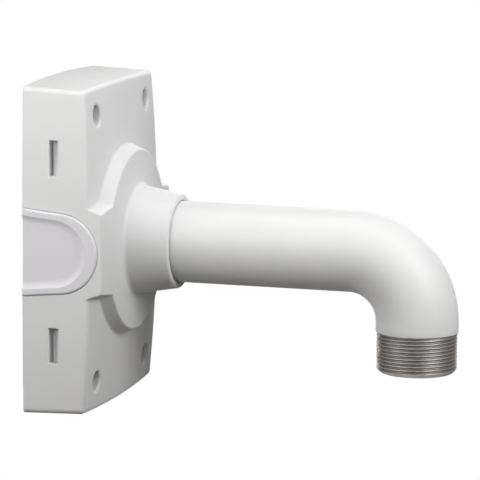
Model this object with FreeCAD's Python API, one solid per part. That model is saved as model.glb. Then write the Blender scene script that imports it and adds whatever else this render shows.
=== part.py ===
"""Wall bracket for a security camera.

A drafted, domed wall box is cast in one piece with a round pad, a band across its front and a
collar. A bent tube sits in the collar, is held by a flange inside the box, and ends in a pipe
thread for the camera. Lengths are in millimetres. The wall is the plane X = 0, the tube leaves
the wall along +X on the axis Y = Z = 0, and +Z is up.
"""
import FreeCAD, Part
import math
import os

V = FreeCAD.Vector
AXIS_X = V(1, 0, 0)
AXIS_Y = V(0, 1, 0)

# Wall box outline, measured at its corners
box_half_width = 65.3
box_rise = 97.0
box_drop = 97.4
side_bow_at_wall = 1.6
side_bow_at_front = 2.1
crown_at_wall = 1.95
crown_at_front = 1.35
corner_depth = 37.2
side_draft = 0.5
top_draft = 2.2
bottom_draft = 1.9
front_dome_radius = 1150.0
corner_radius = 3.0
rim_radius = 2.5
wall = 3.4

# Raised pad: a round disc and a band that runs from side to side
pad_radius = 54.3
pad_height = 8.6
pad_draft = 20.0
pad_dome_radius = 800.0
pad_edge_radius = 0.8
pad_foot_radius = 1.2
pad_side_radius = 2.2
pad_wall = 4.2
band_half_height = 23.3
band_flare = 10.2

# Collar round the tube
collar_length = 25.5
collar_end_radius = 28.2
collar_draft = 10.3
collar_root_radius = 2.5
collar_lip_radius = 1.6
collar_clearance = 0.45

# Arm
tube_radius = 24.5
tube_wall = 3.6
arm_reach = 223.3
bend_radius = 40.35
paint_line_drop = 46.0
thread_length = 24.1
thread_radius = 24.0
thread_chamfer = 2.2

# Flange that holds the tube, its gasket and its screws
flange_seat = 38.0
flange_thickness = 5.0
flange_radius = 47.0
flange_lip = 2.0
flange_lip_width = 2.9
flange_clearance = 0.3
flange_chamfer = 0.8
gasket_thickness = 1.0
gasket_margin = 1.0
flange_screw_circle = 80.0
flange_screw_count = 4
flange_boss_radius = 7.0
hub_wall = 6.0
tapped_spare = 1.5

# M6 socket screws and their washers
m6_radius = 3.0
m6_hole_radius = 3.3
m6_head_radius = 5.0
m6_head_height = 6.0
m6_key_width = 5.0
m6_key_depth = 3.0
m6_engagement = 8.0
m6_washer_radius = 6.0
m6_washer_thickness = 1.6
screw_end_chamfer = 0.5
thread_clearance = 0.05

# M5 earth screw and its washer
m5_radius = 2.5
m5_hole_radius = 2.75
m5_head_radius = 4.75
m5_head_height = 3.2
m5_slot_width = 1.2
m5_slot_depth = 1.4
m5_engagement = 8.0
m5_washer_radius = 5.4
m5_washer_thickness = 1.1

# Collar seal
seal_section_radius = 1.7
seal_setback = 11.5
seal_clearance = 0.1

# Wall screws: columns with a deep counterbore open to the front
screw_spacing_y = 93.0
screw_spacing_z = 159.2
counterbore_radius = 6.3
counterbore_floor = 9.0
wall_hole_radius = 4.25
mouth_radius = 1.3
column_wall = 3.2
web_thickness = 2.8
web_setback = 6.0

# Strap slots through both sides, ramped so that a strap runs in toward the open back
slot_back = 16.35
slot_throat = 0.9
slot_ramp = 44.0
slot_ramp_depth = 5.7
slot_height = 21.0
slot_height_centre = 55.7
slot_lead_radius = 1.5
slot_lip_radius = 0.6
slot_wall = 8.4
slot_pad_margin = 4.5

# Side covers in notches that are open to the wall
notch_radius = 24.1
notch_centre = 22.6
notch_drop = 0.5
notch_taper = 5.5
cover_gap = 0.2
cover_stand = 1.3
cover_inset = 0.35
cover_rim = 3.6
cover_slope = 3.0
cover_recess = 1.6
cover_dish_setback = 3.5
cover_dish_radius = 7.0
cover_shell = 2.2
cover_lap = 2.6
cover_lap_thickness = 1.8
cover_edge_radius = 1.4
cover_nose_gap = 0.4
rail_gap = 0.3
rail_lip = 2.2
rail_thickness = 2.4
rail_setback = 3.0

# Ribs and earth boss
rib_thickness = 2.8
rib_offset = 22.0
rib_setback = 3.0
rib_flange_gap = 3.0
earth_boss_radius = 6.5
earth_boss_height = 12.0
earth_rise = 29.0

# Worked out from the values above
tan_side = math.tan(math.radians(side_draft))
tan_top = math.tan(math.radians(top_draft))
tan_bottom = math.tan(math.radians(bottom_draft))
tan_pad = math.tan(math.radians(pad_draft))
tan_flare = math.tan(math.radians(band_flare))
tan_collar = math.tan(math.radians(collar_draft))
corner_reach = math.hypot(box_half_width, box_rise)
dome_centre = corner_depth - math.sqrt(front_dome_radius ** 2 - corner_reach ** 2)
front_apex = dome_centre + front_dome_radius
pad_apex = front_apex + pad_height
pad_edge_depth = pad_apex - pad_dome_radius + math.sqrt(pad_dome_radius ** 2 - pad_radius ** 2)
collar_end = pad_apex + collar_length
tube_bore = tube_radius - tube_wall
collar_bore = tube_radius + collar_clearance
bend_start = arm_reach - bend_radius
side_face = box_half_width + side_bow_at_wall
cover_plane = side_face + cover_stand
lap_plane = side_face - wall - cover_inset
flange_front = flange_seat - gasket_thickness
flange_back = flange_front - flange_thickness
tube_start = flange_back + flange_lip
flange_screw_face = flange_back - m6_washer_thickness
slot_inside = side_face - slot_wall
slot_ramp_foot = side_face - slot_ramp_depth
column_y = screw_spacing_y / 2
column_z = screw_spacing_z / 2
column_radius = counterbore_radius + column_wall
past = 10.0
whole_height = 2 * (box_drop + crown_at_wall + past)
earth_drop = box_drop - earth_rise


def dome_depth(apex, radius, off_axis):
    """Depth of a dome at a distance from the tube axis."""
    return apex - radius + math.sqrt(radius ** 2 - off_axis ** 2)


earth_face = dome_depth(front_apex - wall, front_dome_radius - wall, earth_drop) - earth_boss_height


def cylinder(radius, x_from, x_to, y=0.0, z=0.0):
    """Round bar along X."""
    return Part.makeCylinder(radius, x_to - x_from, V(x_from, y, z), AXIS_X)


def brick(x_span, y_span, z_span):
    """Square block between two limits on each axis."""
    corner = V(x_span[0], y_span[0], z_span[0])
    return Part.makeBox(x_span[1] - x_span[0], y_span[1] - y_span[0], z_span[1] - z_span[0], corner)


def dome(apex, radius):
    """Ball whose front pole lies on the tube axis at the given depth."""
    return Part.makeSphere(radius, V(apex - radius, 0, 0), AXIS_X)


def mirrored_y(shape):
    """Copy on the other side of the plane Y = 0."""
    return shape.mirror(V(0, 0, 0), AXIS_Y)


def four_ways(make):
    """Shapes from make(sign of Y, sign of Z) in all four quarters."""
    return [make(side, end) for side in (-1, 1) for end in (-1, 1)]


def joined(shapes):
    """All shapes in one."""
    return shapes[0].fuse(shapes[1:]) if len(shapes) > 1 else shapes[0]


def edges_where(shape, test):
    """Edges whose bounding box passes a test."""
    return [edge for edge in shape.Edges if test(edge.BoundBox)]


def block(inset):
    """Box with crowned, drafted walls, set in by inset on every side."""
    wires = []
    for x in (-past, pad_apex + past):
        share = x / corner_depth
        half_y = box_half_width - x * tan_side - inset
        top = box_rise - x * tan_top - inset
        foot = -box_drop + x * tan_bottom + inset
        bow = side_bow_at_wall + share * (side_bow_at_front - side_bow_at_wall)
        crown = crown_at_wall + share * (crown_at_front - crown_at_wall)
        right = Part.Arc(V(x, half_y, top), V(x, half_y + bow, 0), V(x, half_y, foot))
        under = Part.Arc(V(x, half_y, foot), V(x, 0, foot - crown), V(x, -half_y, foot))
        left = Part.Arc(V(x, -half_y, foot), V(x, -half_y - bow, 0), V(x, -half_y, top))
        over = Part.Arc(V(x, -half_y, top), V(x, 0, top + crown), V(x, half_y, top))
        wires.append(Part.Wire([right.toShape(), under.toShape(), left.toShape(), over.toShape()]))
    return Part.makeLoft(wires, True, True)


def pad_plan(inset):
    """Disc and band as drafted solids, set in by inset on every side."""
    x_from = corner_depth - past
    x_to = pad_apex + past
    reach = box_half_width + past

    def disc_radius(x):
        return pad_radius + (pad_edge_depth - x) * tan_pad - inset

    def band_outline(x):
        at_side = band_half_height + (pad_edge_depth - x) * tan_pad - inset
        end = at_side - past * tan_flare
        middle = at_side + box_half_width * tan_flare
        corners = [V(x, -reach, end), V(x, 0, middle), V(x, reach, end)]
        corners += [V(x, reach, -end), V(x, 0, -middle), V(x, -reach, -end)]
        return Part.makePolygon(corners + [corners[0]])

    disc = Part.makeCone(disc_radius(x_from), disc_radius(x_to), x_to - x_from, V(x_from, 0, 0), AXIS_X)
    band = Part.makeLoft([band_outline(x_from), band_outline(x_to)], True, True)
    return disc.fuse(band)


def rounded_front(body, apex, radius, edge_radius):
    """Body cut to a dome in front, with its front rim rounded."""
    cut = body.common(dome(apex, radius))
    return cut.makeFillet(edge_radius, edges_where(cut, lambda b: b.XMin > corner_depth - past))


def raised_pad(body):
    """Disc and band with their domed top, flush with the sides of the box."""
    pad = pad_plan(0.0).common(dome(pad_apex, pad_dome_radius))
    deepest = dome_depth(pad_apex, pad_dome_radius, box_half_width + 2 * past)

    def on_top_edge(b):
        at_top = b.XMin > deepest and b.XMax < pad_edge_depth + pad_edge_radius
        outer = max(abs(b.ZMin), abs(b.ZMax)) > band_half_height - past / 2
        return at_top and outer and b.YLength > past

    pad = pad.makeFillet(pad_edge_radius, edges_where(pad, on_top_edge))
    return pad.common(rounded_front(body, pad_apex, pad_dome_radius, pad_side_radius))


def casting_outside():
    """Outer form of the casting: box, pad and collar with all their outer radii."""
    body = block(0.0)
    corners = edges_where(body, lambda b: b.XLength > corner_depth > b.YLength)
    body = body.makeFillet(corner_radius, corners)
    box = rounded_front(body, front_apex, front_dome_radius, rim_radius)
    box = box.cut(brick((-2 * past, 0), (-whole_height, whole_height), (-whole_height, whole_height)))
    shape = box.fuse(raised_pad(body))
    foot_low = dome_depth(front_apex, front_dome_radius, box_half_width + past) - pad_edge_radius

    def on_foot(b):
        return b.XMin > foot_low and b.XMax < front_apex and b.YLength > past and b.XLength < 1.0

    shape = shape.makeFillet(pad_foot_radius, edges_where(shape, on_foot))

    cone_start = pad_apex - past
    cone_radius = collar_end_radius + (collar_end - cone_start) * tan_collar
    cone_base = V(cone_start, 0, 0)
    cone = Part.makeCone(cone_radius, collar_end_radius, collar_end - cone_start, cone_base, AXIS_X)
    shape = shape.fuse(cone)
    root_reach = collar_end_radius + (collar_length + pad_edge_radius) * tan_collar

    def on_root(b):
        return b.XMin > pad_edge_depth and b.XLength < 0.1 and b.YMax < root_reach and b.XMax < pad_apex

    shape = shape.makeFillet(collar_root_radius, edges_where(shape, on_root))
    return shape.makeFillet(collar_lip_radius, edges_where(shape, lambda b: b.XMin > collar_end - 0.1))


def screw_way(side, end):
    """Counterbore from the front and hole through to the wall for one wall screw."""
    y = side * column_y
    z = end * column_z
    hole = cylinder(wall_hole_radius, -past, counterbore_floor + 1.0, y, z)
    return cylinder(counterbore_radius, counterbore_floor, pad_apex, y, z).fuse(hole)


def strap_slots():
    """Cutters for the two slots of the +Y side: a narrow throat and a rounded ramp in front of it."""
    throat_front = slot_back + slot_throat
    outside = side_face + past
    ramp_front = throat_front + (outside - slot_ramp_foot) * math.tan(math.radians(slot_ramp))
    corners = [(slot_back, slot_inside - past), (throat_front, slot_inside - past)]
    corners += [(throat_front, slot_ramp_foot), (ramp_front, outside), (slot_back, outside)]
    points = [V(x, y, -whole_height) for x, y in corners + corners[:1]]
    channel = Part.Face(Part.makePolygon(points)).extrude(V(0, 0, 2 * whole_height))
    body = block(0.0)
    grooved = body.cut(channel)

    def at_surface(b):
        outside_ramp = b.YMin > slot_ramp_foot + slot_lip_radius
        return outside_ramp and b.ZLength > box_rise and b.XMax < corner_depth

    lip = edges_where(grooved, lambda b: at_surface(b) and abs(b.XMax - slot_back) < 0.1)
    grooved = grooved.makeFillet(slot_lip_radius, lip)
    lead = edges_where(grooved, lambda b: at_surface(b) and b.XMin > throat_front)
    grooved = grooved.makeFillet(slot_lead_radius, lead)
    half = slot_height / 2
    cutters = []
    for end in (-1, 1):
        z = (end * slot_height_centre - half, end * slot_height_centre + half)
        room = brick((0, corner_depth), (slot_inside - past, outside), z)
        cutters.append(body.common(room).cut(grooved))
    return joined(cutters)


def u_face(y, offset, x_back):
    """U shaped face in the plane Y = y: a round nose and two sides that widen to the wall."""
    slope = math.radians(notch_taper)
    radius = notch_radius + offset
    turn_x = notch_centre + radius * math.sin(slope)
    turn_z = radius * math.cos(slope)
    back_z = turn_z + (turn_x - x_back) * math.tan(slope)
    nose = Part.Arc(V(turn_x, y, turn_z), V(notch_centre + radius, y, 0), V(turn_x, y, -turn_z))
    lower = Part.LineSegment(V(turn_x, y, -turn_z), V(x_back, y, -back_z))
    back = Part.LineSegment(V(x_back, y, -back_z), V(x_back, y, back_z))
    upper = Part.LineSegment(V(x_back, y, back_z), V(turn_x, y, turn_z))
    wire = Part.Wire([nose.toShape(), lower.toShape(), back.toShape(), upper.toShape()])
    return wire.translated(V(0, 0, -notch_drop))


def u_plate(y_from, y_to, offset, x_back):
    """U shaped plate between two planes of constant Y."""
    return Part.Face(u_face(y_from, offset, x_back)).extrude(V(0, y_to - y_from, 0))


def cover_rail():
    """Guide on the inside of the +Y wall that the lap of a side cover slides into."""
    lap_edge = cover_lap - cover_gap
    foot_inside = lap_edge + rail_gap
    outer = foot_inside + rail_thickness
    lip_top = lap_plane - cover_lap_thickness - rail_gap
    lip_bottom = lip_top - rail_thickness
    solid = u_plate(lip_bottom, side_face, outer, rail_setback)
    room = u_plate(lip_top, side_face + past, foot_inside, -past)
    window = u_plate(lip_bottom - past, side_face + past, lap_edge - rail_lip, -past)
    return solid.cut(room).cut(window)


def inner_features():
    """Hub, bosses, columns, webs, ribs, slot pads and guides that stand in the hollow."""
    front = pad_apex
    features = [cylinder(collar_bore + hub_wall, flange_seat, front)]
    for y, z in screw_places():
        features.append(cylinder(flange_boss_radius, flange_seat, front, y, z))

    half_web = web_thickness / 2
    half_rib = rib_thickness / 2
    far_y = side_face + past
    far_z = box_drop + past
    rib_end = math.sqrt((flange_radius + rib_flange_gap) ** 2 - rib_offset ** 2)
    pad_back = slot_back - slot_pad_margin
    pad_reach = slot_height / 2 + slot_pad_margin

    def column(side, end):
        return cylinder(column_radius, 0, front, side * column_y, end * column_z)

    def web_to_side(side, end):
        y = sorted((side * column_y, side * far_y))
        return brick((web_setback, front), y, (end * column_z - half_web, end * column_z + half_web))

    def web_to_top(side, end):
        z = sorted((end * column_z, end * far_z))
        return brick((web_setback, front), (side * column_y - half_web, side * column_y + half_web), z)

    def rib(side, end):
        y = (side * rib_offset - half_rib, side * rib_offset + half_rib)
        return brick((rib_setback, front), y, sorted((end * rib_end, end * far_z)))

    def slot_pad(side, end):
        y = sorted((side * slot_inside, side * far_y))
        z = (end * slot_height_centre - pad_reach, end * slot_height_centre + pad_reach)
        return brick((pad_back, front), y, z)

    for make in (column, web_to_side, web_to_top, rib, slot_pad):
        features += four_ways(make)
    rail = cover_rail()
    features += [rail, mirrored_y(rail)]
    features.append(cylinder(earth_boss_radius, earth_face, front, 0, -earth_drop))
    return joined(features)


def screw_places():
    """Centres of the flange screws, as (Y, Z)."""
    radius = flange_screw_circle / 2
    places = []
    for index in range(flange_screw_count):
        angle = 2 * math.pi * (index + 0.5) / flange_screw_count
        places.append((radius * math.cos(angle), radius * math.sin(angle)))
    return places


def wall_housing():
    """Casting with its screw columns, strap slots, cover notches, hollow and hub."""
    shape = casting_outside()
    ways = joined(four_ways(screw_way))
    shape = shape.cut(ways)

    def on_mouth(b):
        wide = abs(b.YLength - 2 * counterbore_radius) < 1.0
        return wide and b.XMin > corner_depth and b.XMax < front_apex

    shape = shape.makeFillet(mouth_radius, edges_where(shape, on_mouth))
    slots = strap_slots()

    hollow = block(wall).common(dome(front_apex - wall, front_dome_radius - wall))
    pad_room = pad_plan(pad_wall).common(dome(pad_apex - pad_wall, pad_dome_radius - pad_wall))
    hollow = hollow.fuse(pad_room.common(block(wall))).cut(inner_features())
    shape = shape.cut(hollow).cut(slots).cut(mirrored_y(slots)).cut(ways)

    notch = u_plate(lap_plane, side_face + past, 0.0, -past)
    shape = shape.cut(notch).cut(mirrored_y(notch))

    groove_radius = tube_radius + 2 * (seal_section_radius + seal_clearance)
    groove_half = seal_section_radius + seal_clearance
    groove_centre = collar_end - seal_setback
    bore = cylinder(collar_bore, flange_seat - past, collar_end + past)
    groove = cylinder(groove_radius, groove_centre - groove_half, groove_centre + groove_half)
    shape = shape.cut(bore.fuse(groove))

    tapped_end = flange_seat + m6_engagement + tapped_spare
    for y, z in screw_places():
        shape = shape.cut(cylinder(m6_radius + thread_clearance, flange_seat - past, tapped_end, y, z))
    earth_end = earth_face + m5_engagement + tapped_spare
    earth_hole = cylinder(m5_radius + thread_clearance, earth_face - past, earth_end, 0, -earth_drop)
    return shape.cut(earth_hole)


def bent_bar(radius, x_from, z_to):
    """Solid bar along the arm: straight from the wall, round the bend and down."""
    start = Part.Face(Part.Wire(Part.Circle(V(bend_start, 0, 0), AXIS_X, radius).toShape()))
    bend = start.revolve(V(bend_start, 0, -bend_radius), AXIS_Y, 90)
    level = cylinder(radius, x_from, bend_start)
    leg = Part.makeCylinder(radius, -z_to - bend_radius, V(arm_reach, 0, z_to))
    return joined([level, bend, leg])


def arm_tube():
    """Bent tube with a bare pipe thread below the paint line, shown at its crest size."""
    thread_end = -paint_line_drop - thread_length
    shape = bent_bar(tube_radius, tube_start, -paint_line_drop)
    thread = Part.makeCylinder(thread_radius, thread_length + 1.0, V(arm_reach, 0, thread_end))
    lead = [edge for edge in thread.Edges if edge.BoundBox.ZMax < thread_end + 0.1]
    thread = thread.makeChamfer(thread_chamfer, lead)
    return shape.fuse(thread).cut(bent_bar(tube_bore, tube_start - past, thread_end - past))


def arm_flange():
    """Ring welded on the inner end of the tube, with a lip that the tube's end stands on."""
    shape = cylinder(flange_radius, flange_back, flange_front)
    shape = shape.makeChamfer(flange_chamfer, edges_where(shape, lambda b: b.XMax < flange_back + 0.1))
    shape = shape.cut(cylinder(tube_radius + flange_clearance, tube_start, flange_seat))
    shape = shape.cut(cylinder(tube_radius - flange_lip_width, flange_back - past, flange_seat))
    for y, z in screw_places():
        shape = shape.cut(cylinder(m6_hole_radius, flange_back - past, flange_seat, y, z))
    return shape


def flange_gasket():
    """Flat ring between the flange and the seats in the casting."""
    shape = cylinder(flange_radius - gasket_margin, flange_front, flange_seat)
    shape = shape.cut(cylinder(collar_bore + gasket_margin, flange_front - past, flange_seat + past))
    for y, z in screw_places():
        shape = shape.cut(cylinder(m6_hole_radius, flange_front - past, flange_seat + past, y, z))
    return shape


def socket_screw():
    """M6 socket screw with the seat of its head in the plane X = 0, pointing to +X."""
    length = m6_washer_thickness + flange_thickness + gasket_thickness + m6_engagement
    head = cylinder(m6_head_radius, -m6_head_height, 0)
    crown = edges_where(head, lambda b: b.XMax < -m6_head_height + 0.1)
    head = head.makeChamfer(screw_end_chamfer, crown)
    shank = cylinder(m6_radius, -0.5, length)
    shank = shank.makeChamfer(screw_end_chamfer, edges_where(shank, lambda b: b.XMin > length - 0.1))
    corner = m6_key_width / math.sqrt(3)
    points = []
    for index in range(7):
        angle = math.radians(60 * index)
        points.append(V(-m6_head_height - 1.0, corner * math.cos(angle), corner * math.sin(angle)))
    key = Part.Face(Part.makePolygon(points)).extrude(V(m6_key_depth + 1.0, 0, 0))
    return head.fuse(shank).cut(key)


def flange_screws():
    """The socket screws of the flange, in place."""
    screw = socket_screw()
    return Part.makeCompound([screw.translated(V(flange_screw_face, y, z)) for y, z in screw_places()])


def flange_washers():
    """One plain washer under each flange screw."""
    rings = []
    for y, z in screw_places():
        ring = cylinder(m6_washer_radius, flange_screw_face, flange_back, y, z)
        rings.append(ring.cut(cylinder(m6_hole_radius, flange_screw_face - past, flange_seat, y, z)))
    return Part.makeCompound(rings)


def collar_seal():
    """Round ring in the groove of the collar bore."""
    centre = V(collar_end - seal_setback, 0, 0)
    ring_radius = tube_radius + seal_clearance + seal_section_radius
    return Part.makeTorus(ring_radius, seal_section_radius, centre, AXIS_X)


def side_cover():
    """Cover of the +Y notch: a shell that stands a little proud, with a soft dish and a lap inside."""
    back = cover_gap
    inside = lap_plane - cover_lap_thickness
    plate = u_plate(inside, cover_plane, -cover_gap, back)
    nose_edges = []
    for edge in plate.Edges:
        bounds = edge.BoundBox
        if bounds.YMin > cover_plane - 0.1 and bounds.XLength > 1.0:
            nose_edges.append(edge)
    plate = plate.makeFillet(cover_edge_radius, nose_edges)
    body = plate.fuse(u_plate(inside, lap_plane, cover_lap - cover_gap, back))
    lap_end = dome_depth(pad_apex - pad_wall, pad_dome_radius - pad_wall, side_face) - cover_nose_gap
    behind_nose = brick((lap_end, lap_end + 2 * past), (0, lap_plane), (-whole_height, whole_height))
    pocket_floor = cover_plane - cover_recess - cover_shell
    pocket = u_plate(inside - past, pocket_floor, -cover_gap - cover_shell, back + cover_shell)
    body = body.cut(behind_nose).cut(pocket)
    rim = -cover_gap - cover_rim
    mouth = u_face(cover_plane + cover_recess, rim + cover_slope, -past)
    floor = u_face(cover_plane - cover_recess, rim - cover_slope, -past)
    dish = Part.makeLoft([mouth, floor], True, True).translated(V(-cover_dish_setback, 0, 0))
    floor_edges = edges_where(dish, lambda b: b.YMax < cover_plane and b.XLength > 1.0)
    return body.cut(dish.makeFillet(cover_dish_radius, floor_edges))


def earth_screw():
    """M5 pan head screw with a driver slot, in the earth boss."""
    seat = earth_face - m5_washer_thickness
    head = cylinder(m5_head_radius, seat - m5_head_height, seat, 0, -earth_drop)
    crown = edges_where(head, lambda b: b.XMax < seat - m5_head_height + 0.1)
    head = head.makeFillet(m5_head_height / 2, crown)
    shank = cylinder(m5_radius, seat - 0.5, earth_face + m5_engagement, 0, -earth_drop)
    half_slot = m5_slot_width / 2
    top = seat - m5_head_height
    slot_z = (-earth_drop - half_slot, -earth_drop + half_slot)
    slot = brick((top - 1.0, top + m5_slot_depth), (-past, past), slot_z)
    return head.fuse(shank).cut(slot)


def earth_washer():
    """Washer between the earth screw and its boss."""
    ring = cylinder(m5_washer_radius, earth_face - m5_washer_thickness, earth_face, 0, -earth_drop)
    return ring.cut(cylinder(m5_hole_radius, earth_face - past, earth_face + past, 0, -earth_drop))


def build():
    """Every piece of the bracket by node name."""
    cover = side_cover()
    return {
        "wall_housing": wall_housing(),
        "arm_tube": arm_tube(),
        "arm_flange": arm_flange(),
        "flange_gasket": flange_gasket(),
        "flange_screws": flange_screws(),
        "flange_washers": flange_washers(),
        "collar_seal": collar_seal(),
        "side_cover_left": mirrored_y(cover),
        "side_cover_right": cover,
        "earth_screw": earth_screw(),
        "earth_washer": earth_washer(),
    }


def export(pieces):
    """Write one STEP file per piece and print its solids and volume."""
    os.makedirs("parts", exist_ok=True)
    for name, shape in pieces.items():
        shape.exportStep(f"parts/{name}.step")
        volume = shape.Volume / 1000
        print(f"{name}: {len(shape.Solids)} solids, {volume:.2f} cm3, valid {shape.isValid()}")


if __name__ == "__main__":
    export(build())
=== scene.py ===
"""Studio scene of a wall bracket for a security camera.

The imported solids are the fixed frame. This script dresses them: it gives every piece its finish,
stands a smooth tube with its real pipe thread in the place of the plain one, and sets the floor,
the lamps and the camera. Lengths are in metres. The tube leaves the wall along +X on the axis
Y = Z = 0, and +Z is up.
"""

import logging
import math
from dataclasses import dataclass, field
from enum import Enum
from typing import Optional, Sequence

import bpy
from mathutils import Matrix, Vector


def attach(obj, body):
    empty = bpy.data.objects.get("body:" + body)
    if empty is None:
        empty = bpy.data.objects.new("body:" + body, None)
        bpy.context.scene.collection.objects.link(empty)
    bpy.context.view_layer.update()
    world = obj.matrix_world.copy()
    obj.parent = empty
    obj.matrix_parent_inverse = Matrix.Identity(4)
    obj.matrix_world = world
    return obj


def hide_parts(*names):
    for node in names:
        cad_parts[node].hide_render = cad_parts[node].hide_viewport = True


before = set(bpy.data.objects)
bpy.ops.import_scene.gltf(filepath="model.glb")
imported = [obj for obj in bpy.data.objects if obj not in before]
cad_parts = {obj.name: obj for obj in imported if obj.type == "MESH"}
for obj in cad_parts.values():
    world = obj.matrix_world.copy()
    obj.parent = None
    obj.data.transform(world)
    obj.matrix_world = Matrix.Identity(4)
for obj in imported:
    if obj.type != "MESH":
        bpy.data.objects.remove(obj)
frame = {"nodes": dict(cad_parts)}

LOG = logging.getLogger("bracket")
Colour = tuple[float, float, float]


class Slot(Enum):
    """Material slots of the record."""

    TUBE = "tube_white"


class Skin(Enum):
    """Material places of the tube's mesh."""

    COAT = 0
    BARE = 1


class ShaderSheet:
    """A material or node group that is being drawn, with short calls to add and join its nodes."""

    def __init__(self, tree: bpy.types.NodeTree) -> None:
        """Wraps a node tree.

        Args:
            tree: The tree that receives the nodes.
        """
        self.tree = tree
        self.column = 0

    def add(self, kind: str, inputs: Optional[dict] = None, **settings: object) -> bpy.types.Node:
        """Adds one node.

        Args:
            kind: Blender's name for the node type.
            inputs: Values or sockets for the node's inputs, by name or index.
            settings: Attributes to set on the node.

        Returns:
            The new node.
        """
        node = self.tree.nodes.new(kind)
        node.location = (180 * self.column, 0)
        self.column += 1
        for name, value in settings.items():
            setattr(node, name, value)
        for name, value in (inputs or {}).items():
            if isinstance(value, bpy.types.NodeSocket):
                self.tree.links.new(value, node.inputs[name])
            else:
                node.inputs[name].default_value = value
        return node

    def math(self, operation: str, *values: object) -> bpy.types.NodeSocket:
        """Adds a Math node.

        Args:
            operation: The operation's name.
            values: Numbers or sockets, in order.

        Returns:
            The result's socket.
        """
        return self.add("ShaderNodeMath", dict(enumerate(values)), operation=operation).outputs[0]

    def ramp(self, value: bpy.types.NodeSocket, low: float, high: float) -> bpy.types.NodeSocket:
        """Stretches a value so that low becomes 0 and high becomes 1, with soft ends.

        Args:
            value: The socket to stretch.
            low: The value that becomes 0.
            high: The value that becomes 1.

        Returns:
            The stretched value's socket.
        """
        inputs = {"Value": value, "From Min": low, "From Max": high}
        node = self.add("ShaderNodeMapRange", inputs, interpolation_type="SMOOTHSTEP")
        return node.outputs["Result"]

    def mix(self, share: object, first: object, second: object) -> bpy.types.NodeSocket:
        """Mixes two colours.

        Args:
            share: Share of the second colour, a number or a socket.
            first: Colour or socket at share 0.
            second: Colour or socket at share 1.

        Returns:
            The mixed colour's socket.
        """
        inputs = {0: share}
        # Sockets 6 and 7 are the node's two colours.
        for index, value in ((6, first), (7, second)):
            inputs[index] = value if isinstance(value, bpy.types.NodeSocket) else (*value, 1.0)
        return self.add("ShaderNodeMix", inputs, data_type="RGBA").outputs[2]

    def blend(self, share: object, first: object, second: object) -> bpy.types.NodeSocket:
        """Mixes two numbers.

        Args:
            share: Share of the second number, a number or a socket.
            first: Number or socket at share 0.
            second: Number or socket at share 1.

        Returns:
            The mixed number's socket.
        """
        # Sockets 2 and 3 are the node's two numbers.
        return self.add("ShaderNodeMix", {0: share, 2: first, 3: second}).outputs[0]

    def product(self, first: object, *others: object) -> bpy.types.NodeSocket:
        """Multiplies two or more values.

        Args:
            first: A number or a socket.
            others: The further numbers or sockets.

        Returns:
            The product's socket.
        """
        for other in others:
            first = self.math("MULTIPLY", first, other)
        return first


class EffectGroup:
    """A shader effect that several finishes share, built once as a node group."""

    name = "effect"
    numbers: dict[str, float] = {}
    results: tuple[str, ...] = ()

    def tree(self) -> bpy.types.NodeTree:
        """Gives the group's node tree, and draws it the first time.

        Returns:
            The node tree.
        """
        made = bpy.data.node_groups.get(self.name)
        if made is not None:
            return made
        made = bpy.data.node_groups.new(self.name, "ShaderNodeTree")
        for label, value in self.numbers.items():
            socket = made.interface.new_socket(label, in_out="INPUT", socket_type="NodeSocketFloat")
            socket.default_value = value
        for label in self.results:
            made.interface.new_socket(label, in_out="OUTPUT", socket_type="NodeSocketFloat")
        sheet = ShaderSheet(made)
        entry = sheet.add("NodeGroupInput")
        values = self.draw(sheet, entry)
        sheet.add("NodeGroupOutput", dict(zip(self.results, values)))
        return made

    def draw(self, sheet: ShaderSheet, entry: bpy.types.Node) -> Sequence[bpy.types.NodeSocket]:
        """Draws the inside of the group.

        Args:
            sheet: The group's sheet.
            entry: The node that holds the group's inputs.

        Returns:
            One socket for each result.
        """
        raise NotImplementedError

    def place(self, sheet: ShaderSheet, **values: float) -> bpy.types.Node:
        """Places the group in a material.

        Args:
            sheet: The material's sheet.
            values: The group's inputs by name, with spaces written as underscores.

        Returns:
            The group node.
        """
        node = sheet.add("ShaderNodeGroup", node_tree=self.tree())
        for label, value in values.items():
            node.inputs[label.replace("_", " ")].default_value = value
        return node


class CoatSkin(EffectGroup):
    """Orange peel and slow change of tone of a baked or moulded skin."""

    name = "coat_skin"
    numbers = {"Peel Scale": 900.0, "Cloud Scale": 14.0}
    results = ("Height", "Cloud")

    def draw(self, sheet: ShaderSheet, entry: bpy.types.Node) -> Sequence[bpy.types.NodeSocket]:
        """Draws a fine noise for the height and a slow one for the tone.

        Args:
            sheet: The group's sheet.
            entry: The node that holds the group's inputs.

        Returns:
            Sockets of the height and of the change of tone.
        """
        place = sheet.add("ShaderNodeTexCoord").outputs["Object"]
        fine = {"Vector": place, "Scale": entry.outputs["Peel Scale"], "Detail": 2.0}
        slow = {"Vector": place, "Scale": entry.outputs["Cloud Scale"], "Detail": 3.0}
        height = sheet.add("ShaderNodeTexNoise", fine).outputs["Fac"]
        cloud = sheet.add("ShaderNodeTexNoise", slow).outputs["Fac"]
        return height, sheet.ramp(cloud, 0.35, 0.65)


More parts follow.
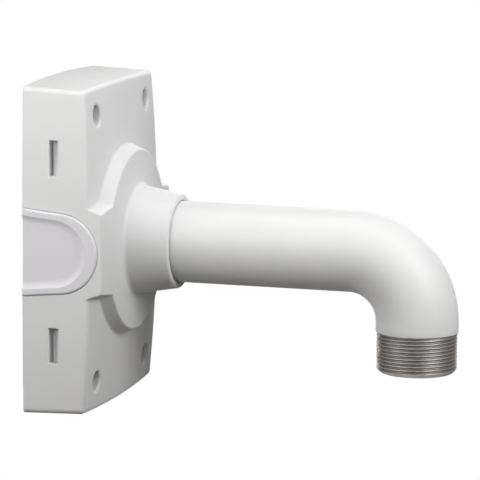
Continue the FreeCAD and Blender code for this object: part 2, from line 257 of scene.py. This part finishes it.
class EdgeRubAndShade(EffectGroup):
    """Mask of outside edges, where hands and boxes rub the coat thin and dull, and where a darker
    tone is painted in to dim the edges' highlight.
    """

    name = "edge_rub_and_shade"
    numbers = {"Reach": 0.0012, "Patch Scale": 60.0}
    results = ("Mask",)

    def draw(self, sheet: ShaderSheet, entry: bpy.types.Node) -> Sequence[bpy.types.NodeSocket]:
        """Compares the surface with its rounded self and breaks the mask up with noise.

        Args:
            sheet: The group's sheet.
            entry: The node that holds the group's inputs.

        Returns:
            The mask's socket.
        """
        rounded = sheet.add("ShaderNodeBevel", {"Radius": entry.outputs["Reach"]}, samples=4)
        plain = sheet.add("ShaderNodeNewGeometry").outputs["Normal"]
        inputs = {0: rounded.outputs["Normal"], 1: plain}
        same = sheet.add("ShaderNodeVectorMath", inputs, operation="DOT_PRODUCT").outputs["Value"]
        edge = sheet.ramp(sheet.math("SUBTRACT", 1.0, same), 0.02, 0.22)
        place = sheet.add("ShaderNodeTexCoord").outputs["Object"]
        patches = {"Vector": place, "Scale": entry.outputs["Patch Scale"], "Detail": 3.0}
        patch = sheet.add("ShaderNodeTexNoise", patches).outputs["Fac"]
        return (sheet.product(edge, sheet.ramp(patch, 0.40, 0.70)),)


class CreviceDustAndShade(EffectGroup):
    """Mask of inside corners, narrow gaps and thread grooves, where dust stays and where shade is
    painted into the colour.
    """

    name = "crevice_dust_and_shade"
    numbers = {"Reach": 0.004}
    results = ("Mask",)

    def draw(self, sheet: ShaderSheet, entry: bpy.types.Node) -> Sequence[bpy.types.NodeSocket]:
        """Reads how much of the surroundings is near, and keeps the deep end.

        Args:
            sheet: The group's sheet.
            entry: The node that holds the group's inputs.

        Returns:
            The mask's socket.
        """
        reach = {"Distance": entry.outputs["Reach"]}
        room = sheet.add("ShaderNodeAmbientOcclusion", reach, samples=6)
        return (sheet.math("SUBTRACT", 1.0, sheet.ramp(room.outputs["AO"], 0.25, 0.95)),)


class SlotShade(EffectGroup):
    """Mask of the ramps of the strap slots, where shade is painted into the colour, darkest at each
    slot's upper end.

    A slot's zone is a box in the part's own frame, given by its height above or below the axis, its
    half length, the two distances from the wall and the distance from the middle of the box.
    """

    name = "slot_shade"
    numbers = {
        "Reach": 0.007,
        "Slot Height": 0.0557,
        "Slot Half Length": 0.0108,
        "Wall Distance": 0.0190,
        "Front Distance": 0.0240,
        "Side Distance": 0.0575,
    }
    results = ("Mask",)
    streak_reach = 0.011
    upper_thickness = (0.10, 0.90)
    lower_thickness = (0.75, 1.00)

    def zone(self, sheet: ShaderSheet, entry: bpy.types.Node,
             split: bpy.types.Node, height: bpy.types.NodeSocket) -> bpy.types.NodeSocket:
        """Marks the boxes round the ramps.

        Args:
            sheet: The group's sheet.
            entry: The node that holds the group's inputs.
            split: The node that gives the place as X, Y and Z.
            height: Height above the slot's middle, counted away from the axis.

        Returns:
            The mask's socket.
        """
        across, aside = split.outputs["X"], sheet.math("ABSOLUTE", split.outputs["Y"])
        ahead = sheet.math("GREATER_THAN", across, entry.outputs["Wall Distance"])
        behind = sheet.math("LESS_THAN", across, entry.outputs["Front Distance"])
        rise = sheet.math("ABSOLUTE", height)
        level = sheet.math("LESS_THAN", rise, entry.outputs["Slot Half Length"])
        outside = sheet.math("GREATER_THAN", aside, entry.outputs["Side Distance"])
        return sheet.product(ahead, behind, level, outside)

    def thickness(self, sheet: ShaderSheet, upper: bpy.types.NodeSocket,
                  height: bpy.types.NodeSocket) -> bpy.types.NodeSocket:
        """Thins the painted shade out toward the lower end of each slot, where more light falls, on
        the upper slots more so.

        Args:
            sheet: The group's sheet.
            upper: 1 on the upper slots and -1 on the lower ones.
            height: Height above the slot's middle, counted away from the axis.

        Returns:
            The thickness's socket.
        """
        (above, most_above), (below, most_below) = self.upper_thickness, self.lower_thickness
        rise, sink = most_above - above, most_below - below
        least = sheet.math("MULTIPLY_ADD", upper, (above - below) / 2, (above + below) / 2)
        gain = sheet.math("MULTIPLY_ADD", upper, (rise - sink) / 2, (rise + sink) / 2)
        streak = sheet.ramp(sheet.product(height, upper), -self.streak_reach, self.streak_reach)
        return sheet.math("MULTIPLY_ADD", gain, streak, least)

    def draw(self, sheet: ShaderSheet, entry: bpy.types.Node) -> Sequence[bpy.types.NodeSocket]:
        """Marks the zone of the slots, and in it the faces that are neither open nor deep.

        Args:
            sheet: The group's sheet.
            entry: The node that holds the group's inputs.

        Returns:
            The mask's socket.
        """
        place = sheet.add("ShaderNodeTexCoord").outputs["Object"]
        split = sheet.add("ShaderNodeSeparateXYZ", {"Vector": place})
        from_axis = sheet.math("ABSOLUTE", split.outputs["Z"])
        height = sheet.math("SUBTRACT", from_axis, entry.outputs["Slot Height"])
        zone = self.zone(sheet, entry, split, height)
        reach = {"Distance": entry.outputs["Reach"]}
        room = sheet.add("ShaderNodeAmbientOcclusion", reach, samples=8)
        reached = sheet.ramp(room.outputs["AO"], 0.03, 0.20)
        closed = sheet.math("SUBTRACT", 1.0, sheet.ramp(room.outputs["AO"], 0.80, 1.0))
        thick = self.thickness(sheet, sheet.math("SIGN", split.outputs["Z"]), height)
        # The mask paints shade on the slot ramps, not dirt.
        return (sheet.product(zone, thick, reached, closed),)


class ToolMarks(EffectGroup):
    """Fine rings that a lathe leaves round an axis of the part, with stains between them."""

    name = "tool_marks"
    numbers = {"Ring Scale": 2400.0, "Stain Scale": 90.0}
    results = ("Height", "Stain")

    def draw(self, sheet: ShaderSheet, entry: bpy.types.Node) -> Sequence[bpy.types.NodeSocket]:
        """Draws noise that is drawn out along the rings, and stains.

        Args:
            sheet: The group's sheet.
            entry: The node that holds the group's inputs.

        Returns:
            Sockets of the height and of the stains.
        """
        place = sheet.add("ShaderNodeTexCoord").outputs["Object"]
        longways = {"Vector": place, "Scale": (0.06, 0.06, 1.0)}
        drawn = sheet.add("ShaderNodeMapping", longways).outputs["Vector"]
        rings = {"Vector": drawn, "Scale": entry.outputs["Ring Scale"], "Detail": 2.0}
        stains = {"Vector": place, "Scale": entry.outputs["Stain Scale"], "Detail": 4.0,
                  "Roughness": 0.6}
        ring = sheet.add("ShaderNodeTexNoise", rings).outputs["Fac"]
        stain = sheet.add("ShaderNodeTexNoise", stains).outputs["Fac"]
        return ring, sheet.ramp(stain, 0.38, 0.66)


@dataclass(frozen=True)
class Finish:
    """A coat, a plastic or a rubber, with the colours, shares and gloss that make it.

    The shares say how strongly the slow change of tone, the rubbed edges with their painted shade,
    the dust and painted shade in corners and the painted shade in the strap slots show, and the
    levels how dark the last three are.
    """

    name: str
    colour: Colour
    shade: Colour
    roughness: float
    skin_strength: float
    skin_depth: float = 0.0001
    peel_scale: float = 1100.0
    rough_change: float = 0.08
    cloud_share: float = 0.5
    rub_and_shade_share: float = 0.0
    rub_and_shade_level: float = 0.88
    dust_and_shade_share: float = 0.0
    dust_and_shade_level: float = 0.55
    slot_shade_share: float = 0.0
    slot_shade_level: float = 0.5
    soft_edge: float = 0.0
    metallic: float = 0.0
    specular: float = 0.5

    def marks(self, sheet: ShaderSheet) -> tuple[bpy.types.NodeSocket, bpy.types.NodeSocket]:
        """Places the effect that marks the whole surface.

        Args:
            sheet: The material's sheet.

        Returns:
            Sockets of the height and of the slow change of tone.
        """
        skin = CoatSkin().place(sheet, Peel_Scale=self.peel_scale)
        return skin.outputs["Height"], skin.outputs["Cloud"]

    def base(self, sheet: ShaderSheet, cloud: bpy.types.NodeSocket) -> bpy.types.NodeSocket:
        """Mixes the colour with its shade, then darkens it under three masks: rubbed edges with
        painted shade, dust and painted shade in corners, and painted shade in the strap slots.

        Args:
            sheet: The material's sheet.
            cloud: Mask of the slow change of tone.

        Returns:
            The colour's socket.
        """
        colour = sheet.mix(sheet.product(cloud, self.cloud_share), self.colour, self.shade)
        layers = (
            (EdgeRubAndShade(), self.rub_and_shade_share, self.colour, self.rub_and_shade_level),
            (CreviceDustAndShade(), self.dust_and_shade_share, self.shade, self.dust_and_shade_level),
            (SlotShade(), self.slot_shade_share, self.shade, self.slot_shade_level),
        )
        # Each layer mixes toward a darker tone under its mask: painted shade in the slots, dust and
        # painted shade in corners and grooves, and rubbed edges painted darker to dim their
        # highlight.
        for effect, share, tone, level in layers:
            if share:
                mask = sheet.product(effect.place(sheet).outputs["Mask"], share)
                colour = sheet.mix(mask, colour, tuple(value * level for value in tone))
        return colour

    def skin(self, sheet: ShaderSheet, shader: bpy.types.Node,
             height: bpy.types.NodeSocket) -> None:
        """Feeds the height of the skin to the shader's normal.

        Args:
            sheet: The material's sheet.
            shader: The Principled node.
            height: The height's socket.
        """
        inputs = {"Height": height, "Strength": self.skin_strength, "Distance": self.skin_depth}
        if self.soft_edge:
            rounded = sheet.add("ShaderNodeBevel", {"Radius": self.soft_edge}, samples=8)
            inputs["Normal"] = rounded.outputs["Normal"]
        bump = sheet.add("ShaderNodeBump", inputs)
        sheet.tree.links.new(bump.outputs["Normal"], shader.inputs["Normal"])

    def material(self) -> bpy.types.Material:
        """Draws the material round its Principled shader.

        Returns:
            The material.
        """
        material = bpy.data.materials.new(self.name)
        material.use_nodes = True
        material.diffuse_color = (*self.colour, 1.0)
        sheet = ShaderSheet(material.node_tree)
        shader = material.node_tree.nodes["Principled BSDF"]
        shader.inputs["Metallic"].default_value = self.metallic
        shader.inputs["Specular IOR Level"].default_value = self.specular
        height, cloud = self.marks(sheet)
        sheet.tree.links.new(self.base(sheet, cloud), shader.inputs["Base Color"])
        rough = sheet.math("MULTIPLY_ADD", cloud, self.rough_change, self.roughness)
        sheet.tree.links.new(rough, shader.inputs["Roughness"])
        self.skin(sheet, shader, height)
        return material


@dataclass(frozen=True)
class TurnedMetal(Finish):
    """Bare metal with the marks of the lathe or of the die, and with dull stains."""

    metallic: float = 1.0
    rough_change: float = 0.12

    def marks(self, sheet: ShaderSheet) -> tuple[bpy.types.NodeSocket, bpy.types.NodeSocket]:
        """Places the tool marks.

        Args:
            sheet: The material's sheet.

        Returns:
            Sockets of the height and of the stains.
        """
        marks = ToolMarks().place(sheet)
        return marks.outputs["Height"], marks.outputs["Stain"]


# The powder coat takes painted shade in its strap slots and corners, and on its rubbed edges.
POWDER_COAT = Finish(
    name="powder_coat", colour=(0.80, 0.80, 0.812), shade=(0.782, 0.782, 0.794), roughness=0.42,
    skin_strength=0.12, rub_and_shade_share=0.8, dust_and_shade_share=0.12, slot_shade_share=1.0, soft_edge=0.0012,
    specular=0.3,
)
TUBE_COAT = Finish(
    name="tube_coat", colour=(0.80, 0.80, 0.81), shade=(0.785, 0.785, 0.795), roughness=0.38,
    skin_strength=0.08, rub_and_shade_share=0.3, specular=0.3,
)
COVER_PLASTIC = Finish(
    name="cover_plastic", colour=(0.80, 0.785, 0.83), shade=(0.79, 0.775, 0.822), roughness=0.5,
    skin_strength=0.10, peel_scale=2200.0, rub_and_shade_share=0.2, dust_and_shade_share=0.1, specular=0.35,
)
# The thread's grooves take a near-black painted shade, along with their dust, under the crevice
# mask.
THREAD_METAL = TurnedMetal(
    name="thread_metal", colour=(0.465, 0.438, 0.416), shade=(0.39, 0.367, 0.348), roughness=0.45,
    skin_strength=0.03, cloud_share=0.7, dust_and_shade_share=1.0, dust_and_shade_level=0.05,
)
FLANGE_METAL = TurnedMetal(
    name="flange_metal", colour=(0.60, 0.60, 0.59), shade=(0.50, 0.50, 0.49), roughness=0.36,
    skin_strength=0.2, cloud_share=0.7,
)
ZINC_PLATE = TurnedMetal(
    name="zinc_plate", colour=(0.62, 0.62, 0.64), shade=(0.50, 0.50, 0.53), roughness=0.26,
    skin_strength=0.15, skin_depth=0.00005, cloud_share=0.6,
)
SEAL_RUBBER = Finish(
    name="seal_rubber", colour=(0.022, 0.022, 0.022), shade=(0.035, 0.034, 0.033), roughness=0.62,
    skin_strength=0.2, peel_scale=1800.0, dust_and_shade_share=0.1,
)


class Dressing:
    """Gives each CAD node its finish, and draws every material only once."""

    finishes = {
        "wall_housing": POWDER_COAT,
        "arm_tube": TUBE_COAT,
        "arm_flange": FLANGE_METAL,
        "flange_gasket": SEAL_RUBBER,
        "flange_screws": ZINC_PLATE,
        "flange_washers": ZINC_PLATE,
        "collar_seal": SEAL_RUBBER,
        "side_cover_left": COVER_PLASTIC,
        "side_cover_right": COVER_PLASTIC,
        "earth_screw": ZINC_PLATE,
        "earth_washer": ZINC_PLATE,
    }

    def __init__(self) -> None:
        """Starts with no material drawn."""
        self.drawn: dict[str, bpy.types.Material] = {}

    def material(self, finish: Finish) -> bpy.types.Material:
        """Gives a finish's material, and draws it the first time.

        Args:
            finish: The finish.

        Returns:
            The material.
        """
        if finish.name not in self.drawn:
            self.drawn[finish.name] = finish.material()
        return self.drawn[finish.name]

    def dress(self, nodes: dict[str, bpy.types.Object]) -> None:
        """Puts the finishes on the CAD nodes.

        Args:
            nodes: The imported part's objects by node name.
        """
        for name, finish in self.finishes.items():
            piece = nodes[name]
            piece.data.materials.clear()
            piece.data.materials.append(self.material(finish))
            LOG.info("%s wears %s", name, finish.name)


@dataclass
class BentTube:
    """The arm: a tube that leaves the wall box, turns down and ends in a pipe thread.

    Its mesh is one closed skin. Rings of points follow the outside from the inner end to the mouth
    and come back along the bore, so the thread's helix is part of the same skin. The travel is the
    distance along the centre line from the wall plane.
    """

    outer_radius: float = 0.0245
    bore_radius: float = 0.0209
    inner_end: float = 0.034
    bend_start: float = 0.18295
    bend_radius: float = 0.04035
    paint_line: float = -0.046
    mouth: float = -0.0701
    crest_radius: float = 0.0240
    thread_depth: float = 0.0010
    thread_pitch: float = 0.0254 / 11.5
    thread_lead: float = 0.0022
    thread_start: float = 0.765
    thread_fade: float = 0.6
    least_wall: float = 0.0004
    paint_edge: float = 0.0003
    sharp_angle: float = 60.0
    segments: int = 160
    run_step: float = 0.004
    steps_per_pitch: int = 16
    rings: list[list[Vector]] = field(default_factory=list)
    bare_from: int = 0
    bare_to: int = 0

    def centre_and_side(self, travel: float) -> tuple[Vector, Vector]:
        """Gives the centre line and the direction across it, in the plane of the bend.

        Args:
            travel: Distance along the centre line from the wall plane.

        Returns:
            The centre point, and the unit vector that points away from the inside of the bend.
        """
        arc = self.bend_radius * math.pi / 2
        if travel <= self.bend_start:
            return Vector((travel, 0.0, 0.0)), Vector((0.0, 0.0, 1.0))
        if travel >= self.bend_start + arc:
            drop = travel - self.bend_start - arc
            reach = self.bend_start + self.bend_radius
            return Vector((reach, 0.0, -self.bend_radius - drop)), Vector((1.0, 0.0, 0.0))
        angle = (travel - self.bend_start) / self.bend_radius
        side = Vector((math.sin(angle), 0.0, math.cos(angle)))
        pivot = Vector((self.bend_start, 0.0, -self.bend_radius))
        return pivot + side * self.bend_radius, side

    def travel_at(self, height: float) -> float:
        """Gives the travel at which the leg reaches a height below the bend."""
        return self.bend_start + self.bend_radius * (math.pi / 2 - 1.0) - height

    def stations(self, first: float, last: float) -> list[float]:
        """Gives evenly spaced travels between two, both included."""
        count = max(2, round(abs(last - first) / self.run_step))
        return [first + (last - first) * index / count for index in range(count + 1)]

    def ring(self, travel: float, radii: Sequence[float]) -> list[Vector]:
        """Lays one ring of points round the centre line.

        Args:
            travel: Distance along the centre line.
            radii: One radius, or one for each point of the ring.

        Returns:
            The ring's points.
        """
        centre, side = self.centre_and_side(travel)
        across = Vector((0.0, 1.0, 0.0))
        points = []
        for index in range(self.segments):
            angle = 2 * math.pi * index / self.segments
            radius = radii[index % len(radii)]
            points.append(centre + (side * math.cos(angle) + across * math.sin(angle)) * radius)
        return points

    def thread_radius(self, height: float, turn: float) -> float:
        """Gives the radius of the right-hand thread's surface.

        Args:
            height: Height of the point, from the mouth at 0 up to the paint line.
            turn: Share of a turn round the axis, from 0 to 1.

        Returns:
            The radius at that point.
        """
        phase = (height / self.thread_pitch - turn + self.thread_start) % 1.0
        groove = 0.5 - 0.5 * math.cos(2 * math.pi * phase)
        top = self.paint_line - self.mouth
        fade = max(0.0, min(1.0, (top - height) / (self.thread_fade * self.thread_pitch)))
        radius = self.crest_radius - self.thread_depth * groove * fade
        lead = self.crest_radius - self.thread_lead + height
        return min(radius, max(lead, self.bore_radius + self.least_wall))

    def lay_coat(self) -> None:
        """Lays the rings of the painted outside, down to the rounded edge of the paint."""
        paint_end = self.travel_at(self.paint_line)
        outside = self.stations(self.inner_end, paint_end - self.paint_edge)
        self.rings = [self.ring(travel, [self.outer_radius]) for travel in outside]
        for angle in (30, 60, 90):
            slope = math.radians(angle)
            travel = paint_end - self.paint_edge * (1 - math.sin(slope))
            radius = self.outer_radius - self.paint_edge * (1 - math.cos(slope))
            self.rings.append(self.ring(travel, [radius]))

    def lay_thread(self) -> None:
        """Lays the rings of the thread, from the paint line to the mouth."""
        length = self.paint_line - self.mouth
        count = round(length / self.thread_pitch * self.steps_per_pitch)
        turns = [step / self.segments for step in range(self.segments)]
        for index in range(count + 1):
            height = length * (1 - index / count)
            radii = [self.thread_radius(height, turn) for turn in turns]
            self.rings.append(self.ring(self.travel_at(self.mouth + height), radii))

    def lay_bore(self) -> None:
        """Lays the rings of the bore, from the mouth back to the inner end."""
        bore = self.stations(self.travel_at(self.mouth), self.inner_end)
        self.rings += [self.ring(travel, [self.bore_radius]) for travel in bore]

    def lay_rings(self) -> None:
        """Lays all rings, and notes which of them are bare metal."""
        self.lay_coat()
        self.bare_from = len(self.rings)
        self.lay_thread()
        self.bare_to = len(self.rings)
        self.lay_bore()

    def faces(self) -> tuple[list[tuple[int, ...]], list[int]]:
        """Joins each ring to the next one, and the last to the first.

        Returns:
            The faces, and the material place of each.
        """
        faces, places = [], []
        for index in range(len(self.rings)):
            after = (index + 1) % len(self.rings)
            bare = self.bare_from - 1 <= index <= self.bare_to
            low, high = index * self.segments, after * self.segments
            for step in range(self.segments):
                beside = (step + 1) % self.segments
                faces.append((low + step, high + step, high + beside, low + beside))
                places.append((Skin.BARE if bare else Skin.COAT).value)
        return faces, places

    def build(self, dressing: Dressing) -> bpy.types.Object:
        """Makes the tube's mesh and puts it in the place of the plain one.

        Args:
            dressing: The finishes.

        Returns:
            The tube.
        """
        self.lay_rings()
        faces, places = self.faces()
        mesh = bpy.data.meshes.new("bent_tube")
        mesh.from_pydata([point for ring in self.rings for point in ring], [], faces)
        mesh.materials.append(dressing.material(TUBE_COAT))
        mesh.materials.append(dressing.material(THREAD_METAL))
        mesh.polygons.foreach_set("material_index", places)
        mesh.polygons.foreach_set("use_smooth", [True] * len(faces))
        mesh.set_sharp_from_angle(angle=math.radians(self.sharp_angle))
        mesh.update()
        tube = bpy.data.objects.new("bent_tube", mesh)
        bpy.context.scene.collection.objects.link(tube)
        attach(tube, "root")
        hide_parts("arm_tube")
        LOG.info("bent_tube: %d rings, %d faces", len(self.rings), len(faces))
        return tube


@dataclass(frozen=True)
class SoftLamp:
    """One square soft lamp that looks at the middle of the part from a side and a height.

    The azimuth is counted from -Y toward +X, the elevation upward, both in degrees.
    """

    name: str
    azimuth: float
    elevation: float
    distance: float
    size: float
    power: float
    target: tuple[float, float, float] = (0.10, 0.0, 0.0)
    colour: Colour = (1.0, 1.0, 1.0)

    def place(self) -> Vector:
        """Works out where the lamp stands.

        Returns:
            The lamp's place.
        """
        turn, lift = math.radians(self.azimuth), math.radians(self.elevation)
        level = Vector((math.sin(turn), -math.cos(turn), 0.0)) * math.cos(lift)
        return Vector(self.target) + (level + Vector((0.0, 0.0, math.sin(lift)))) * self.distance

    def build(self) -> bpy.types.Object:
        """Makes the lamp.

        Returns:
            The lamp.
        """
        data = bpy.data.lights.new(self.name, "AREA")
        data.shape = "SQUARE"
        data.size = self.size
        data.energy = self.power
        data.color = self.colour
        lamp = bpy.data.objects.new(self.name, data)
        bpy.context.scene.collection.objects.link(lamp)
        lamp.location = self.place()
        lamp.rotation_mode = "QUATERNION"
        aim = Vector(self.target) - self.place()
        lamp.rotation_quaternion = aim.to_track_quat("-Z", "Y")
        lamp.visible_camera = False
        LOG.info("lamp %s, %.2f W", self.name, self.power)
        return lamp


@dataclass
class Studio:
    """Pale floor, white surroundings and soft lamps.

    The lamps on the wall side and on the far side stand behind the wall plane, so they light the
    back and the far side and leave the near ones as they are.
    """

    floor_place: tuple[float, float, float] = (0.1, 0.0, -0.62)
    floor_radius: float = 1.1
    floor_corners: int = 96
    floor_colour: Colour = (0.86, 0.86, 0.86)
    floor_bounce: Colour = (0.06, 0.05, 0.02)
    floor_roughness: float = 0.9
    floor_glow: float = 0.6
    sky_strength: float = 0.08
    ground_strength: float = 0.04
    sky_edge: tuple[float, float] = (-0.25, 0.6)
    sky_colour: Colour = (1.0, 0.96, 0.68)
    room_strength: float = 0.30
    backdrop_axis: tuple[float, float, float] = (-0.272, 0.949, -0.156)
    backdrop_edge: tuple[float, float] = (0.955, 0.995)
    lamps: tuple[SoftLamp, ...] = (
        SoftLamp("top_lamp", 0.0, 85.0, 0.4, 0.2, 0.51),
        SoftLamp("near_lamp", -10.0, 30.0, 0.4, 0.2, 0.26),
        SoftLamp("left_lamp", -35.0, 25.0, 0.6, 0.3, 1.0),
        SoftLamp("low_left_lamp", -50.0, 0.0, 1.2, 0.8, 2.9, colour=(1.0, 0.995, 0.96)),
        SoftLamp("right_lamp", 66.0, 25.0, 0.6, 0.3, 2.36),
        SoftLamp("back_lamp", 180.0, 20.0, 1.2, 0.8, 3.7),
        SoftLamp("wall_side_lamp", -90.0, 5.0, 0.45, 0.25, 0.6),
        SoftLamp("far_side_lamp", -150.0, 0.0, 0.6, 0.2, 0.7),
    )

    @staticmethod
    def sight(sheet: ShaderSheet) -> tuple[bpy.types.NodeSocket, bpy.types.NodeSocket]:
        """Tells what is looked at, straight or through glass, from what is mirrored.

        Args:
            sheet: The sheet of the material or the world.

        Returns:
            Two sockets, each 1 or 0: seen, and mirrored by a smooth surface.
        """
        path = sheet.add("ShaderNodeLightPath").outputs
        seen = sheet.math("MAXIMUM", path["Is Camera Ray"], path["Is Transmission Ray"])
        return seen, path["Is Glossy Ray"]

    def surroundings(self) -> None:
        """Sets the world.

        It is white to look at. Smooth surfaces mirror the white backdrop behind the part and a
        dimmer room on the other sides, and a soft warm sky over a dim ground gives the general
        light.
        """
        world = bpy.data.worlds.new("surroundings")
        world.use_nodes = True
        bpy.context.scene.world = world
        sheet = ShaderSheet(world.node_tree)
        world.node_tree.nodes.clear()
        seen, glossy = self.sight(sheet)
        place = sheet.add("ShaderNodeTexCoord").outputs["Generated"]
        up = sheet.add("ShaderNodeSeparateXYZ", {"Vector": place}).outputs["Z"]
        sky, rise = sheet.ramp(up, *self.sky_edge), self.sky_strength - self.ground_strength
        light = sheet.math("MULTIPLY_ADD", sky, rise, self.ground_strength)
        inputs = {0: place, 1: self.backdrop_axis}
        toward = sheet.add("ShaderNodeVectorMath", inputs, operation="DOT_PRODUCT").outputs["Value"]
        backdrop, room = sheet.ramp(toward, *self.backdrop_edge), self.room_strength
        mirrored = sheet.math("MULTIPLY_ADD", backdrop, 1.0 - room, room)
        strength = sheet.blend(seen, sheet.blend(glossy, light, mirrored), 1.0)
        tint = sheet.mix(sheet.math("MAXIMUM", seen, glossy), self.sky_colour, (1.0, 1.0, 1.0))
        glow = sheet.add("ShaderNodeBackground", {"Color": tint, "Strength": strength})
        sheet.add("ShaderNodeOutputWorld", {"Surface": glow.outputs[0]})

    def floor(self) -> bpy.types.Object:
        """Lays a round pale floor well below the bracket.

        It is near white to look at, and smooth surfaces mirror it as dimly as the room.

        Returns:
            The floor.
        """
        corners = range(self.floor_corners)
        angles = [2 * math.pi * corner / self.floor_corners for corner in corners]
        rim = [Vector((math.cos(turn), math.sin(turn), 0.0)) * self.floor_radius for turn in angles]
        mesh = bpy.data.meshes.new("studio_floor")
        mesh.from_pydata(rim, [], [tuple(corners)])
        mesh.materials.append(self.floor_paper())
        floor = bpy.data.objects.new("studio_floor", mesh)
        floor.location = self.floor_place
        bpy.context.scene.collection.objects.link(floor)
        return floor

    def floor_paper(self) -> bpy.types.Material:
        """Draws the floor's paper, which throws only a dim warm light on the part.

        Returns:
            The material.
        """
        material = bpy.data.materials.new("floor_paper")
        material.use_nodes = True
        sheet = ShaderSheet(material.node_tree)
        shader = material.node_tree.nodes["Principled BSDF"]
        shader.inputs["Roughness"].default_value = self.floor_roughness
        shader.inputs["Emission Color"].default_value = (1.0, 1.0, 1.0, 1.0)
        seen, glossy = self.sight(sheet)
        shown = sheet.math("MAXIMUM", seen, glossy)
        colour = sheet.mix(shown, self.floor_bounce, self.floor_colour)
        sheet.tree.links.new(colour, shader.inputs["Base Color"])
        mirrored = sheet.product(glossy, self.room_strength)
        glow = sheet.product(sheet.math("MAXIMUM", seen, mirrored), self.floor_glow)
        sheet.tree.links.new(glow, shader.inputs["Emission Strength"])
        return material

    def build(self) -> None:
        """Sets the world, the floor, the lamps and how colours are shown."""
        self.surroundings()
        self.floor()
        for lamp in self.lamps:
            lamp.build()
        bpy.context.scene.view_settings.view_transform = "Standard"


@dataclass(frozen=True)
class PhotoCamera:
    """The camera, placed at the photograph's point of view."""

    azimuth: float = 16.0
    elevation: float = 9.0
    roll: float = 0.55
    distance: float = 1.9
    aim_right: float = 0.109500
    aim_up: float = -0.003298
    lens: float = 234.26
    sensor_width: float = 36.0

    def build(self) -> bpy.types.Object:
        """Makes the camera and gives it to the scene.

        Returns:
            The camera.
        """
        angles = (self.azimuth, self.elevation, self.roll)
        turn, lift, roll = (math.radians(angle) for angle in angles)
        level_right = Vector((math.cos(turn), math.sin(turn), 0.0))
        level_back = Vector((math.sin(turn), -math.cos(turn), 0.0))
        back = level_back * math.cos(lift) + Vector((0.0, 0.0, math.sin(lift)))
        level_up = back.cross(level_right)
        right = level_right * math.cos(roll) + level_up * math.sin(roll)
        up = level_up * math.cos(roll) - level_right * math.sin(roll)
        aim = right * self.aim_right + up * self.aim_up
        data = bpy.data.cameras.new("photo_camera")
        data.lens = self.lens
        data.sensor_width = self.sensor_width
        data.clip_start, data.clip_end = 0.05, 50.0
        camera = bpy.data.objects.new("photo_camera", data)
        bpy.context.scene.collection.objects.link(camera)
        frame_of_view = Matrix((right, up, back)).transposed().to_4x4()
        camera.matrix_world = Matrix.Translation(aim + back * self.distance) @ frame_of_view
        bpy.context.scene.camera = camera
        return camera


def main() -> None:
    """Builds the whole scene."""
    logging.basicConfig(level=logging.INFO, format="%(message)s")
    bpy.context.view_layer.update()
    dressing = Dressing()
    dressing.dress(frame["nodes"])
    BentTube().build(dressing)
    Studio().build()
    PhotoCamera().build()


if __name__ == "__main__":
    main()
